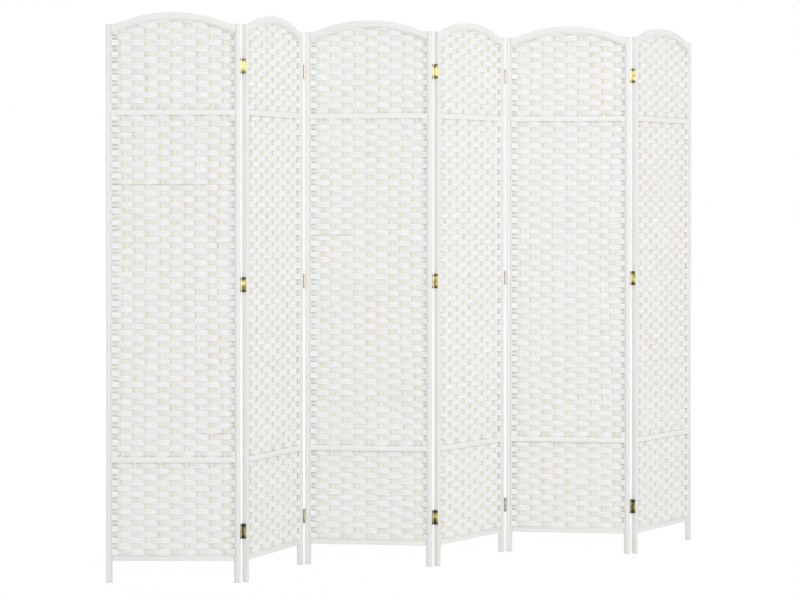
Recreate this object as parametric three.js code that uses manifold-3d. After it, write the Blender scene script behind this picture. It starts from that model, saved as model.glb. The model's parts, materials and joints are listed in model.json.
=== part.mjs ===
// Folding screen of six woven panels with arched tops, standing in a zigzag.
// Millimetres, +Z up, the run of panels along X, the fronts facing -Y.
// The origin is on the floor, under the middle of the standing screen.

import * as THREE from 'three';
import { mergeVertices } from 'three/addons/utils/BufferGeometryUtils.js';
import Module from 'manifold-3d';

const wasm = await Module();
wasm.setup();

// Driving dimensions of the screen
const PANEL_WIDTH = 400;
const FOLDS_AT_REST = [67.3, 75, 64.4, 65.5, 66.1]; // degrees turned at each joint, first to last

// Frame of a panel
const STILE_WIDTH = 14;
const STILE_THICKNESS = 16;
const STILE_HEIGHT = 1665;
const STILE_ROUNDING = 1.5;
const STICK_WIDTH = 5; // slim sticks glued inside the frame, which carry the weave
const STICK_THICKNESS = 7;
const RAIL_THICKNESS = 15;
const BOTTOM_RAIL_DEPTH = 12;
const BOTTOM_RAIL_HEIGHT = 65; // floor to its lower face
const ARCH_RISE = 35; // above the flat tops of the stiles
const ARCH_FILLET = 50; // hollow radius where the arch leaves the stile
const TOP_RAIL_DEPTH = 20; // at the crown
const TOP_RAIL_END_DEPTH = 25; // at the stiles
const JOINT_CLEARANCE = 0.3; // between seated pieces

// Woven infill and the battens that clamp it
const STAKES = 9;
const STAKE_WIDTH = 9;
const STAKE_THICKNESS = 3.5;
const STAKE_PITCH = 38.4;
const CORD_DIAMETER = 4.2;
const CROSSBAR_DEPTH = 17;
const CROSSBAR_THICKNESS = 15;
const LOWER_CROSSBAR_HEIGHT = 366; // floor to centre
const UPPER_CROSSBAR_DROP = 263; // stile tops down to centre

// Butt hinges
const BOTTOM_HINGE_HEIGHT = 152; // floor to centre
const MIDDLE_HINGE_DROP = 777; // stile tops down to centre
const TOP_HINGE_DROP = 125; // stile tops down to centre
const HINGE_LENGTH = 45;
const LEAF_THICKNESS = 1;
const LEAF_MARGIN = 2.5; // bare wood beyond the leaf on the edge of the stile
const LEAF_SEAT = 0.3; // leaf to stile
const LEAF_PLAY = 0.4; // between closed leaves
const KNUCKLES = 5;
const KNUCKLE_RADIUS = 2.5;
const KNUCKLE_GAP = 0.3;
const PIN_RADIUS = 1.2;
const PIN_CLEARANCE = 0.3;

// Facets of the round forms
const CROWN_STEPS = 12;
const FILLET_STEPS = 3;
const KNUCKLE_SIDES = 8;

// Finishes
const WHITE_PAINT = new THREE.MeshStandardMaterial({ color: 0xe9e9e6, roughness: 0.5 });
const WHITE_CORD = new THREE.MeshStandardMaterial({ color: 0xe6e4dc, roughness: 0.85 });
const BRASS = new THREE.MeshStandardMaterial({ color: 0xc2a14c, roughness: 0.35, metalness: 1 });

// Values that follow
const PANEL_GAP = 2 * (LEAF_THICKNESS + LEAF_SEAT) + LEAF_PLAY;
const PIN_OFFSET = KNUCKLE_RADIUS + LEAF_SEAT; // pin axis to the face of the stile
const PIN_TO_PIN = STILE_THICKNESS + 2 * PIN_OFFSET; // across a panel, front pin to back pin
const MIDDLE = PANEL_WIDTH / 2;
const SIDE_WIDTH = STILE_WIDTH + STICK_WIDTH;
const HALF_INSIDE = MIDDLE - STILE_WIDTH - JOINT_CLEARANCE; // between the stiles
const HALF_OPENING = MIDDLE - SIDE_WIDTH - JOINT_CLEARANCE; // between the sticks
const WEAVE_OVER_STICK = STICK_THICKNESS + 2 * CORD_DIAMETER;
const WEAVE_OVER_STAKE = STAKE_THICKNESS + 2 * CORD_DIAMETER;
const WEAVE_BETWEEN = 2 * CORD_DIAMETER;
const INFILL_BOTTOM = BOTTOM_RAIL_HEIGHT + BOTTOM_RAIL_DEPTH + STICK_WIDTH + JOINT_CLEARANCE;
const CROWN_HEIGHT = STILE_HEIGHT + ARCH_RISE;
const RAIL_END_HEIGHT = STILE_HEIGHT - TOP_RAIL_END_DEPTH; // floor to its lower face at the ends
const INNER_ARCH_RISE = ARCH_RISE - TOP_RAIL_DEPTH + TOP_RAIL_END_DEPTH;
const CROSSBAR_HEIGHTS = [LOWER_CROSSBAR_HEIGHT, STILE_HEIGHT - UPPER_CROSSBAR_DROP];
const HINGE_HEIGHTS = {
  bottom: BOTTOM_HINGE_HEIGHT,
  middle: STILE_HEIGHT - MIDDLE_HINGE_DROP,
  top: STILE_HEIGHT - TOP_HINGE_DROP,
};

function solidOf(geometry) {
  const bare = geometry.clone();
  bare.deleteAttribute('normal');
  bare.deleteAttribute('uv');
  const merged = mergeVertices(bare, 1e-4);
  return new wasm.Manifold(new wasm.Mesh({
    numProp: 3,
    vertProperties: new Float32Array(merged.attributes.position.array),
    triVerts: new Uint32Array(merged.index.array),
  }));
}

function geometryOf(solid) {
  const mesh = solid.getMesh();
  const geometry = new THREE.BufferGeometry();
  geometry.setAttribute('position', new THREE.BufferAttribute(new Float32Array(mesh.vertProperties), 3));
  geometry.setIndex(new THREE.BufferAttribute(new Uint32Array(mesh.triVerts), 1));
  geometry.computeVertexNormals();
  return geometry;
}

function block(width, thickness, height, x, y, z) {
  return new THREE.BoxGeometry(width, thickness, height).translate(x, y, z);
}

// An outline in X and Z, thickened evenly to the front and the back of y = 0
function plate(outline, thickness) {
  const geometry = new THREE.ExtrudeGeometry(new THREE.Shape(outline), {
    depth: thickness,
    bevelEnabled: false,
  });
  return geometry.translate(0, 0, -thickness / 2).rotateX(Math.PI / 2);
}

// Points of an arc, angles in radians
function arc(centreX, centreZ, radius, from, to, steps) {
  return Array.from({ length: steps + 1 }, (_, step) => {
    const angle = from + ((to - from) * step) / steps;
    return new THREE.Vector2(centreX + radius * Math.cos(angle), centreZ + radius * Math.sin(angle));
  });
}

// The plain arch under the top rail, or that far below it, from its right end to its left end
function innerArch(below) {
  const rise = INNER_ARCH_RISE;
  const radius = (HALF_OPENING * HALF_OPENING + rise * rise) / (2 * rise);
  const lean = Math.asin(HALF_OPENING / radius);
  const up = Math.PI / 2;
  const centre = CROWN_HEIGHT - TOP_RAIL_DEPTH - below - radius;
  return arc(MIDDLE, centre, radius, up - lean, up + lean, CROWN_STEPS);
}

// The eyebrow arch: a crown arc that runs out of the flat stile tops through a hollow at each end
function eyebrowArch() {
  const half = HALF_OPENING;
  const bothRadii = (half * half + ARCH_RISE * ARCH_RISE) / (2 * ARCH_RISE);
  const crownRadius = bothRadii - ARCH_FILLET;
  const lean = Math.asin(half / bothRadii);
  const up = Math.PI / 2;
  const hollow = STILE_HEIGHT + ARCH_FILLET;
  const right = arc(MIDDLE + half, hollow, ARCH_FILLET, -up, -up - lean, FILLET_STEPS);
  const crown = arc(MIDDLE, CROWN_HEIGHT - crownRadius, crownRadius, up - lean, up + lean, CROWN_STEPS);
  const left = arc(MIDDLE - half, hollow, ARCH_FILLET, -up + lean, -up, FILLET_STEPS);
  return [...right, ...crown.slice(1, -1), ...left];
}

// A left stile, its outer edge on x = 0, with the stick glued along the middle of its inner edge
function stileGeometry() {
  const inset = STILE_ROUNDING;
  const half = STILE_THICKNESS / 2;
  const section = new THREE.Shape([
    new THREE.Vector2(inset, -half),
    new THREE.Vector2(STILE_WIDTH - inset, -half),
    new THREE.Vector2(STILE_WIDTH, inset - half),
    new THREE.Vector2(STILE_WIDTH, half - inset),
    new THREE.Vector2(STILE_WIDTH - inset, half),
    new THREE.Vector2(inset, half),
    new THREE.Vector2(0, half - inset),
    new THREE.Vector2(0, inset - half),
  ]);
  const stile = new THREE.ExtrudeGeometry(section, {
    depth: STILE_HEIGHT - 2 * inset,
    bevelThickness: inset,
    bevelSize: inset,
    bevelOffset: -inset,
    bevelSegments: 1,
  }).translate(0, 0, inset);
  const start = STILE_WIDTH / 2;
  const height = RAIL_END_HEIGHT - JOINT_CLEARANCE;
  const stick = block(
    SIDE_WIDTH - start, STICK_THICKNESS, height,
    (start + SIDE_WIDTH) / 2, 0, height / 2,
  );
  return geometryOf(solidOf(stile).add(solidOf(stick)));
}

// The arched rail with its stick, which follows the inner arch
function topRailGeometry() {
  const ends = [MIDDLE - HALF_INSIDE, MIDDLE + HALF_INSIDE];
  const rail = plate([
    new THREE.Vector2(ends[0], RAIL_END_HEIGHT),
    ...innerArch(0).reverse(),
    new THREE.Vector2(ends[1], RAIL_END_HEIGHT),
    new THREE.Vector2(ends[1], STILE_HEIGHT),
    ...eyebrowArch(),
    new THREE.Vector2(ends[0], STILE_HEIGHT),
  ], RAIL_THICKNESS);
  const stick = plate([...innerArch(STICK_WIDTH).reverse(), ...innerArch(-STICK_WIDTH)], STICK_THICKNESS);
  return geometryOf(solidOf(rail).add(solidOf(stick)));
}

function bottomRailGeometry() {
  const width = 2 * HALF_OPENING;
  const rail = solidOf(block(
    width, RAIL_THICKNESS, BOTTOM_RAIL_DEPTH,
    MIDDLE, 0, BOTTOM_RAIL_HEIGHT + BOTTOM_RAIL_DEPTH / 2,
  ));
  const height = BOTTOM_RAIL_DEPTH + STICK_WIDTH;
  const stick = block(width, STICK_THICKNESS, height, MIDDLE, 0, BOTTOM_RAIL_HEIGHT + height / 2);
  return geometryOf(rail.add(solidOf(stick)));
}

// The flats of the weave across the panel: over the left stick, each stake and the right stick
function weaveFlats() {
  const first = MIDDLE - (STAKE_PITCH * (STAKES - 1)) / 2;
  const stakes = Array.from({ length: STAKES }, (_, stake) => {
    const centre = first + STAKE_PITCH * stake;
    return [centre - STAKE_WIDTH / 2, centre + STAKE_WIDTH / 2, WEAVE_OVER_STAKE / 2];
  });
  const left = [MIDDLE - HALF_INSIDE, SIDE_WIDTH, WEAVE_OVER_STICK / 2];
  const right = [PANEL_WIDTH - SIDE_WIDTH, MIDDLE + HALF_INSIDE, WEAVE_OVER_STICK / 2];
  return [left, ...stakes, right];
}

// Half thickness of the weave across the panel: swollen over each stake, thin between stakes
function weaveProfile() {
  const points = [];
  let lastEnd = null;
  for (const [start, end, half] of weaveFlats()) {
    if (lastEnd !== null) points.push(new THREE.Vector2((lastEnd + start) / 2, WEAVE_BETWEEN / 2));
    points.push(new THREE.Vector2(start, half));
    points.push(new THREE.Vector2(end, half));
    lastEnd = end;
  }
  return points;
}

// Everything below the arch, to trim the top of the weave
function belowArch() {
  const arch = innerArch(STICK_WIDTH + JOINT_CLEARANCE);
  const outline = [
    new THREE.Vector2(0, 0),
    new THREE.Vector2(PANEL_WIDTH, 0),
    new THREE.Vector2(PANEL_WIDTH, arch[0].y),
    ...arch,
    new THREE.Vector2(0, arch[0].y),
  ];
  return solidOf(plate(outline, 2 * STILE_THICKNESS));
}

// The room that a stile's stick takes in the edge of the weave
function stickRoom(x) {
  const width = STICK_WIDTH + 2 * JOINT_CLEARANCE;
  const thickness = STICK_THICKNESS + 2 * JOINT_CLEARANCE;
  return solidOf(block(width, thickness, 2 * STILE_HEIGHT, x, 0, STILE_HEIGHT));
}

// The weave fills the frame up to the arch, turned round the sticks at both sides,
// and a pair of battens clamps it at each crossbar
function infillGeometry() {
  const back = weaveProfile();
  const front = back.map((point) => new THREE.Vector2(point.x, -point.y)).reverse();
  const weave = new THREE.ExtrudeGeometry(new THREE.Shape([...front, ...back]), {
    depth: CROWN_HEIGHT - INFILL_BOTTOM,
    bevelEnabled: false,
  }).translate(0, 0, INFILL_BOTTOM);
  let infill = solidOf(weave).intersect(belowArch());
  for (const height of CROSSBAR_HEIGHTS) {
    const battens = block(2 * HALF_INSIDE, CROSSBAR_THICKNESS, CROSSBAR_DEPTH, MIDDLE, 0, height);
    infill = infill.add(solidOf(battens));
  }
  const stickCentre = STILE_WIDTH + STICK_WIDTH / 2;
  const rooms = stickRoom(stickCentre).add(stickRoom(PANEL_WIDTH - stickCentre));
  return geometryOf(infill.subtract(rooms));
}

// Heights of every second knuckle, counted from the bottom, about the middle of the hinge
function knuckleCentres(first) {
  const step = HINGE_LENGTH / KNUCKLES;
  return Array.from({ length: KNUCKLES }, (_, slot) => slot)
    .filter((slot) => slot % 2 === first)
    .map((slot) => -HINGE_LENGTH / 2 + step * (slot + 0.5));
}

// A cylinder along Z
function barrel(radius, length, z) {
  return new THREE.CylinderGeometry(radius, radius, length, KNUCKLE_SIDES)
    .rotateX(Math.PI / 2)
    .translate(0, 0, z);
}

// A leaf about its pin axis, lying at -X and reaching to -Y, its knuckles round the axis
function leafBlank(firstKnuckle) {
  const x = -(LEAF_PLAY + LEAF_THICKNESS) / 2;
  const outerEdge = -PIN_OFFSET - STILE_THICKNESS + LEAF_MARGIN;
  const flap = (innerEdge, height, z) => solidOf(block(
    LEAF_THICKNESS, innerEdge - outerEdge, height,
    x, (innerEdge + outerEdge) / 2, z,
  ));
  const knuckleLength = HINGE_LENGTH / KNUCKLES - KNUCKLE_GAP;
  let leaf = flap(-PIN_OFFSET, HINGE_LENGTH, 0);
  for (const z of knuckleCentres(firstKnuckle)) {
    const knuckle = solidOf(barrel(KNUCKLE_RADIUS, knuckleLength, z));
    leaf = leaf.add(flap(-KNUCKLE_RADIUS / 2, knuckleLength, z)).add(knuckle);
  }
  return leaf;
}

// The leaf with the even knuckles, bored through for the pin
function boredLeafGeometry() {
  const bore = barrel(PIN_RADIUS + PIN_CLEARANCE, 2 * HINGE_LENGTH, 0);
  return geometryOf(leafBlank(1).subtract(solidOf(bore)));
}

// The leaf with the odd knuckles and the pin pressed into them, flush at both ends, turned to lie at +X
function pinnedLeafGeometry() {
  const pin = barrel(PIN_RADIUS, HINGE_LENGTH - KNUCKLE_GAP, 0);
  return geometryOf(leafBlank(0).add(solidOf(pin))).rotateZ(Math.PI).rotateX(Math.PI);
}

const STILE = stileGeometry();
const TOP_RAIL = topRailGeometry();
const BOTTOM_RAIL = bottomRailGeometry();
const INFILL = infillGeometry();
const BORED_LEAF = boredLeafGeometry();
const PINNED_LEAF = pinnedLeafGeometry();

function addMesh(group, name, geometry, material, x, y, z) {
  const mesh = new THREE.Mesh(geometry, material);
  mesh.name = name;
  mesh.position.set(x, y, z);
  group.add(mesh);
  return mesh;
}

// Three hinge leaves along a pin axis, turned over where the pins stand in front of the panels
function addLeaves(group, name, geometry, x, y, pinsInFront) {
  for (const [place, height] of Object.entries(HINGE_HEIGHTS)) {
    const leaf = addMesh(group, `${place}_${name}`, geometry, BRASS, x, y, height);
    leaf.rotation.x = pinsInFront ? Math.PI : 0;
  }
}

// A panel about its first pin axis. turn is +1 where its last pin is behind it, -1 in front
function panel(number, turn) {
  const group = new THREE.Group();
  const x = PANEL_GAP / 2;
  const y = turn * (PIN_TO_PIN / 2);
  const name = (piece) => `panel_${number}_${piece}`;
  addMesh(group, name('left_stile'), STILE, WHITE_PAINT, x, y, 0);
  const right = addMesh(group, name('right_stile'), STILE, WHITE_PAINT, x + PANEL_WIDTH, y, 0);
  right.rotation.z = Math.PI;
  addMesh(group, name('top_rail'), TOP_RAIL, WHITE_PAINT, x, y, 0);
  addMesh(group, name('bottom_rail'), BOTTOM_RAIL, WHITE_PAINT, x, y, 0);
  addMesh(group, name('woven_infill'), INFILL, WHITE_CORD, x, y, 0);
  return group;
}

// The panels hang on each other in a chain, each folded back against the one before
function chainOfPanels() {
  const chain = new THREE.Group();
  const last = FOLDS_AT_REST.length + 1;
  let parent = chain;
  for (let number = 1; number <= last; number += 1) {
    const turn = number % 2 === 1 ? 1 : -1;
    const group = panel(number, turn);
    if (number > 1) {
      group.position.set(PANEL_WIDTH + PANEL_GAP, -turn * PIN_TO_PIN, 0);
      group.rotation.z = -turn * THREE.MathUtils.degToRad(FOLDS_AT_REST[number - 2]);
      addLeaves(group, `pinned_leaf_${number - 1}`, PINNED_LEAF, 0, 0, turn > 0);
    }
    if (number < last) {
      const pinX = PANEL_WIDTH + PANEL_GAP;
      addLeaves(group, `bored_leaf_${number}`, BORED_LEAF, pinX, turn * PIN_TO_PIN, turn < 0);
    }
    parent.add(group);
    parent = group;
  }
  return { chain, end: parent };
}

// Turns the run to lie along X and brings the middle of its footprint to the origin
function standAtOrigin({ chain, end }) {
  chain.updateMatrixWorld(true);
  const far = new THREE.Vector3(PANEL_WIDTH, 0, 0).applyMatrix4(end.matrixWorld);
  chain.rotation.z = -Math.atan2(far.y, far.x);
  chain.updateMatrixWorld(true);
  const box = new THREE.Box3().setFromObject(chain, true);
  const middle = box.getCenter(new THREE.Vector3());
  chain.position.set(-middle.x, -middle.y, -box.min.z);
  return chain;
}

export default standAtOrigin(chainOfPanels());
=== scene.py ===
"""Folding screen of six panels woven in white paper cord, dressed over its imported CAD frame.

Metres, +Z up, the fronts of the panels facing -Y. Each panel is modelled in its own place frame,
x across the panel from its left edge, y from front to back about its middle plane, z from the
floor, and is then set down where the hinge pins of the frame put it.
"""
import json
import math
import random

import bpy
import numpy as np
from bpy.props import FloatProperty, FloatVectorProperty, IntProperty, PointerProperty
from mathutils import Matrix, Vector


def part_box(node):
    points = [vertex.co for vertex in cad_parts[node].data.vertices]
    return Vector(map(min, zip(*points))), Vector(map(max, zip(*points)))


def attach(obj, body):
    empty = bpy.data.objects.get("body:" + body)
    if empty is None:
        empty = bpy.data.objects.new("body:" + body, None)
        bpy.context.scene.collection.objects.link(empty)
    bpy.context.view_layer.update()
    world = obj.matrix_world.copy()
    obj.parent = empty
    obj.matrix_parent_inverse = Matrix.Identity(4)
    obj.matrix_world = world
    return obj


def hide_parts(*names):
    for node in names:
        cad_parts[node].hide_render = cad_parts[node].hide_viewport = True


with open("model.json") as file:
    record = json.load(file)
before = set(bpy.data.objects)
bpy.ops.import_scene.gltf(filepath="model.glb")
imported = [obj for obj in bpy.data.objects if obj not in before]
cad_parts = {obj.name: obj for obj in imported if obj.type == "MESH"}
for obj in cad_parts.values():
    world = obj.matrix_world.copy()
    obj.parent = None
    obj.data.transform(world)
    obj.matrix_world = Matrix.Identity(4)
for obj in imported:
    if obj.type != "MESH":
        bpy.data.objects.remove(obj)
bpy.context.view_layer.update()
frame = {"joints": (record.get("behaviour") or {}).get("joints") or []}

bl_info = {
    "name": "Woven Folding Screen",
    "version": (1, 0, 0),
    "blender": (4, 5, 0),
    "location": "3D View > Sidebar > Screen",
    "description": "Dresses the frame of a six-panel woven folding screen",
    "category": "Add Mesh",
}

PANELS = 6
HINGE_PLACES = ("bottom", "middle", "top")
PHOTO_WIDTH = 800  # pixels
PHOTO_FOCAL_LENGTH = 2576  # pixels
PHOTO_SHIFT = 85.2  # pixels that the picture is lowered by

# How far each stake of a panel bows to the right between the crossbars, in millimetres
STAKE_BOWS = {
    1: (11.5, 3, 1, 5, -0.5, -1, -6, -4, -14.5),
    2: (9, 2, 0, -2, 1, -3, -4, -7, -12),
    3: (10, 1.5, 0.5, -2.5, 0, -5.5, -5.5, -12, -12),
    4: (7, -1, 1, 3, 0, 2, -3, -5, -10),
    5: (3, -3, -2.5, -8, 1, -1, -1.5, -5, -14),
    6: (8, 3, -2, 1, 0, -4, -2, -6, -11),
}
# Where a band parts from the one above it, drawn as a line of painted shade along its edge: (height,
# left end, right end) in metres, by panel
PARTED_BANDS = {1: ((0.449, 0.288, 0.363), (1.180, 0.025, 0.300)), 3: ((1.028, 0.0205, 0.150),)}
STAKE_STEPS = 40
STAKE_ROUNDING = 0.0008  # metres
CORD_SIDES = 6
# How dark the painted shade is along a band's edge under the lower crossbar, over the upper one, and
# where bands part
UNDER_CROSSBAR = 0.9
OVER_CROSSBAR = 0.5
PARTED = 0.9
# RECESS_FALL sets how the painted shade beside an edge stick falls off.
RECESS_FALL = 1.4  # the dark beside an edge stick falls from this, clipped to 1, to 0

# Details of a hinge, in metres
BRASS_ROUNDING = 0.0002
LEAF_ROUNDING = 0.00025
TONGUE_LAP = 0.0005  # how far a tongue runs into its plate
SCREW_FROM_END = 0.009
OUTER_SCREWS = -0.0005  # from the middle of the leaf towards the pin
MIDDLE_SCREW = 0.0015
SCREW_PROUD = 0.00006
SLOT = (0.0002, 0.0013)  # half width and half length
SLOT_DEPTH = 0.0004

# Place of each soft lamp, and its share of the mean power
LAMPS = {
    "left_lamp": ((-2.8, -6.3, 2.2), 1.06),
    "right_lamp": ((2.1, -5.0, 2.5), 0.76),
    "back_lamp": ((0.4, 5.6, 2.7), 1.30),
    "top_lamp": ((0.0, -0.2, 4.6), 0.18),
}
LAMP_SIZE = 2.6  # metres
LAMP_AIM = (0, 0, 0.9)
FLOOR_DROP = 0.0005  # metres under the feet
FLOOR_WHITE = 1.09
FLOOR_FADE = (1.2, 3.2)  # metres from the middle of the screen

WHITE = (1.0, 1.0, 1.0)
# Numbers of a Mix node's sockets: its factor, its two colours and its result
MIX_FACTOR, MIX_FIRST, MIX_SECOND, MIX_RESULT = 0, 6, 7, 2
AS_MODELLED = {"": Matrix.Identity(4)}  # the turns of a piece that stands one way only


def length(name, description, default):
    """A length in metres that the user can set."""
    return FloatProperty(
        name=name, description=description, default=default, min=0, unit="LENGTH", precision=5
    )


def angle(name, description, degrees):
    """An angle that the user can set."""
    return FloatProperty(
        name=name, description=description, default=math.radians(degrees), subtype="ANGLE"
    )


def whole(name, description, default):
    """A whole number that the user can set."""
    return IntProperty(name=name, description=description, default=default, min=1)


def colour(name, description, default):
    """A linear colour that the user can set."""
    return FloatVectorProperty(
        name=name, description=description, default=default, size=3, min=0, max=1, subtype="COLOR"
    )


# Sizes and colours


class PartitionPanelSizes(bpy.types.PropertyGroup):
    """The white wooden frame of a panel"""

    width: length("Panel width", "Outer edge to outer edge of the two stiles", 0.400)
    height: length("Stile height", "Floor to the flat stile tops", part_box("panel_1_left_stile")[1].z)
    gap: length("Panel gap", "Between the stiles of closed panels", 0.003)
    stile_width: length("Stile width", "Seen from the front", 0.014)
    stile_thickness: length("Stile thickness", "Front to back", 0.016)
    stick_width: length("Edge stick width", "The slim stick that carries the weave", 0.005)
    stick_thickness: length("Edge stick thickness", "Front to back", 0.007)
    rail_thickness: length("Rail thickness", "Front to back", 0.015)
    bottom_rail_depth: length("Bottom rail depth", "Seen from the front", 0.012)
    bottom_rail_height: length(
        "Bottom rail height", "Floor to its lower face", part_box("panel_1_bottom_rail")[0].z
    )
    arch_rise: length("Arch rise", "Crown above the flat stile tops", 0.035)
    arch_fillet: length("Arch hollow", "Radius where the arch leaves the stile", 0.050)
    top_rail_depth: length("Top rail depth", "At the crown", 0.020)
    top_rail_end: length("Top rail end depth", "At the stiles", 0.025)
    clearance: length("Joint clearance", "Between seated pieces", 0.0003)
    rounding: length("Edge rounding", "Of the painted wooden edges", 0.0011)
    batten_depth: length("Crossbar depth", "Seen from the front", 0.017)
    batten_thickness: length("Crossbar thickness", "Both battens, front to back", 0.015)
    lower_batten: length("Lower crossbar height", "Floor to its centre", 0.366)
    upper_batten_drop: length("Upper crossbar drop", "Stile tops down to its centre", 0.263)


class PartitionWeaveSizes(bpy.types.PropertyGroup):
    """The stakes and the cords woven round them"""

    stakes: whole("Stakes", "Stakes in a panel", 9)
    stake_width: length("Stake width", "Seen from the front", 0.009)
    stake_thickness: length("Stake thickness", "Front to back", 0.0035)
    stake_pitch: length("Stake pitch", "Centre to centre", 0.0384)
    stake_drift: length("Stake drift", "How far a stake also wanders sideways", 0.0015)
    cord_depth: length("Cord depth", "Of one pressed paper cord, front to back", 0.0024)
    cords: whole("Cords", "Cords side by side in a band", 4)
    band_height: length("Band height", "Pitch of the woven bands", 0.01727)
    slack: length("Band unevenness", "How far a band strays up and down", 0.00018)
    # The darker turns beside the edge sticks are painted shade.
    recess: length("Edge recess", "Width of the darker turns beside the edge sticks", 0.022)


class PartitionHingeSizes(bpy.types.PropertyGroup):
    """The brass butt hinges"""

    length: length("Hinge length", "Along the pin", 0.045)
    leaf_thickness: length("Leaf thickness", "Of the brass plate", 0.001)
    leaf_margin: length("Leaf margin", "Bare wood beyond the leaf", 0.0025)
    leaf_play: length("Leaf play", "Between closed leaves", 0.0004)
    leaf_seat: length("Leaf seat", "Leaf to stile", 0.0003)
    knuckles: whole("Knuckles", "Knuckles of both leaves", 5)
    knuckle_radius: length("Knuckle radius", "Outside", 0.0025)
    knuckle_gap: length("Knuckle gap", "Between neighbouring knuckles", 0.0003)
    pin_radius: length("Pin radius", "Of the pressed-in pin", 0.0012)
    pin_clearance: length("Pin clearance", "Pin to the bored knuckles", 0.0003)
    screw_radius: length("Screw head radius", "Of the countersunk screws", 0.0026)


class PartitionColours(bpy.types.PropertyGroup):
    """Linear colours of the finishes"""

    paint: colour("White paint", "Frame of the panels", (0.86, 0.863, 0.855))
    cord: colour("Paper cord", "Twisted white paper", (0.955, 0.962, 0.962))
    stake: colour("Stake", "Pale peeled wood", (0.885, 0.865, 0.765))
    brass: colour("Brass", "Hinge leaves, pins and screws", (0.42, 0.39, 0.20))
    floor: colour("Floor", "Pale studio floor", (0.86, 0.86, 0.86))


class PartitionStageSizes(bpy.types.PropertyGroup):
    """The studio round the screen"""

    camera_place: FloatVectorProperty(
        name="Camera place", description="Where the photograph was taken from",
        default=(-3.866, -7.116, 1.150), size=3, subtype="TRANSLATION", unit="LENGTH",
    )
    camera_turn: angle("Camera turn", "Heading of the camera, from +Y towards +X", 27.97)
    camera_dip: angle("Camera dip", "How far the camera looks down", 0.40)
    floor_size: length("Floor size", "Side of the square floor", 30.0)
    surround: FloatProperty(
        name="Surround light", description="Strength of the even light", default=0.61, min=0
    )
    lamp_power: FloatProperty(
        name="Lamp power", description="Mean watts of the large soft lamps", default=88, min=0
    )


# The settings of each group, once main has registered them


def panel_sizes():
    return bpy.context.scene.partition_panel


def weave_sizes():
    return bpy.context.scene.partition_weave


def hinge_sizes():
    return bpy.context.scene.partition_hinge


def finish_colours():
    return bpy.context.scene.partition_colours


# Where the frame puts each panel and each hinge pin


def turn_of(number):
    """+1 where a panel's last pin is behind it, -1 where it is in front."""
    return 1 if number % 2 else -1


def pin_to_pin():
    """Across a panel, front pin axis to back pin axis."""
    hinge = hinge_sizes()
    return panel_sizes().stile_thickness + 2 * (hinge.knuckle_radius + hinge.leaf_seat)


def panel_headings():
    """The angle of each panel from +X, from two pins of one panel and the folds of the joints."""
    panel = panel_sizes()
    pins = [Vector(joint["pos_m"]) for joint in frame["joints"]]
    across = pins[1] - pins[0]
    lean = math.atan2(turn_of(2) * pin_to_pin(), panel.width + panel.gap)
    headings = {2: math.atan2(across.y, across.x) - lean}
    folds = [-joint["axis"][2] * math.radians(joint["range_deg"][0]) for joint in frame["joints"]]
    headings[1] = headings[2] - folds[0]
    for number in range(3, PANELS + 1):
        headings[number] = headings[number - 1] + folds[number - 2]
    return headings


def panel_places():
    """The matrix of each panel's own place frame, by its number."""
    panel = panel_sizes()
    places = {}
    for number, heading in panel_headings().items():
        turned = Matrix.Rotation(heading, 4, "Z")
        if number == 1:
            pin = frame["joints"][0]["pos_m"]
            pin_in_panel = Vector((panel.width + panel.gap / 2, turn_of(number) * pin_to_pin() / 2, 0))
        else:
            pin = frame["joints"][number - 2]["pos_m"]
            pin_in_panel = Vector((-panel.gap / 2, -turn_of(number) * pin_to_pin() / 2, 0))
        corner = Vector((pin[0], pin[1], 0)) - turned @ pin_in_panel
        places[number] = Matrix.Translation(corner) @ turned
    return places


def leaf_places():
    """(place, number of the joint, kind of leaf, number of its panel, its matrix) of each leaf."""
    headings = panel_headings()
    rows = []
    for number, joint in enumerate(frame["joints"], 1):
        over = Matrix.Rotation(0 if turn_of(number) > 0 else math.pi, 4, "X")
        for place in HINGE_PLACES:
            low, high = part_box(f"{place}_bored_leaf_{number}")
            spot = Matrix.Translation((joint["pos_m"][0], joint["pos_m"][1], (low.z + high.z) / 2))
            for kind, panel in (("bored", number), ("pinned", number + 1)):
                matrix = spot @ Matrix.Rotation(headings[panel], 4, "Z") @ over
                rows.append((place, number, kind, panel, matrix))
    return rows


# The curves of the arched top


def side_width():
    panel = panel_sizes()
    return panel.stile_width + panel.stick_width


def half_opening():
    """Half the width between the edge sticks."""
    panel = panel_sizes()
    return panel.width / 2 - side_width() - panel.clearance


def opening_ends():
    """x between the edge sticks."""
    middle = panel_sizes().width / 2
    return middle - half_opening(), middle + half_opening()


def crown_height():
    return panel_sizes().height + panel_sizes().arch_rise


def arch_over(x):
    """Height of the eyebrow arch: flat, then a hollow, then the crown arc."""
    panel = panel_sizes()
    half = half_opening()
    both = (half ** 2 + panel.arch_rise ** 2) / (2 * panel.arch_rise)
    crown_radius = both - panel.arch_fillet
    away = abs(x - panel.width / 2)
    if away >= half:
        return panel.height
    if away > half * crown_radius / both:
        return panel.height + panel.arch_fillet - math.sqrt(panel.arch_fillet ** 2 - (half - away) ** 2)
    return crown_height() - crown_radius + math.sqrt(crown_radius ** 2 - away ** 2)


def inner_arch(below=0.0):
    """(radius, height of the centre) of the plain arch under the top rail, or that far below it."""
    panel = panel_sizes()
    rise = panel.arch_rise - panel.top_rail_depth + panel.top_rail_end
    radius = (half_opening() ** 2 + rise ** 2) / (2 * rise)
    return radius, crown_height() - panel.top_rail_depth - below - radius


def arch_under(x, below=0.0):
    """Height of the plain arch at x, level beyond the edge sticks."""
    radius, centre = inner_arch(below)
    away = min(abs(x - panel_sizes().width / 2), half_opening())
    return centre + math.sqrt(radius ** 2 - away ** 2)


def weave_top(x):
    """Height that stakes and cords reach at x, just under the strip of the top rail."""
    return arch_under(x, panel_sizes().stick_width + panel_sizes().clearance)


def cord_pitch():
    """Height of one cord in its band."""
    return weave_sizes().band_height / weave_sizes().cords


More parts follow.
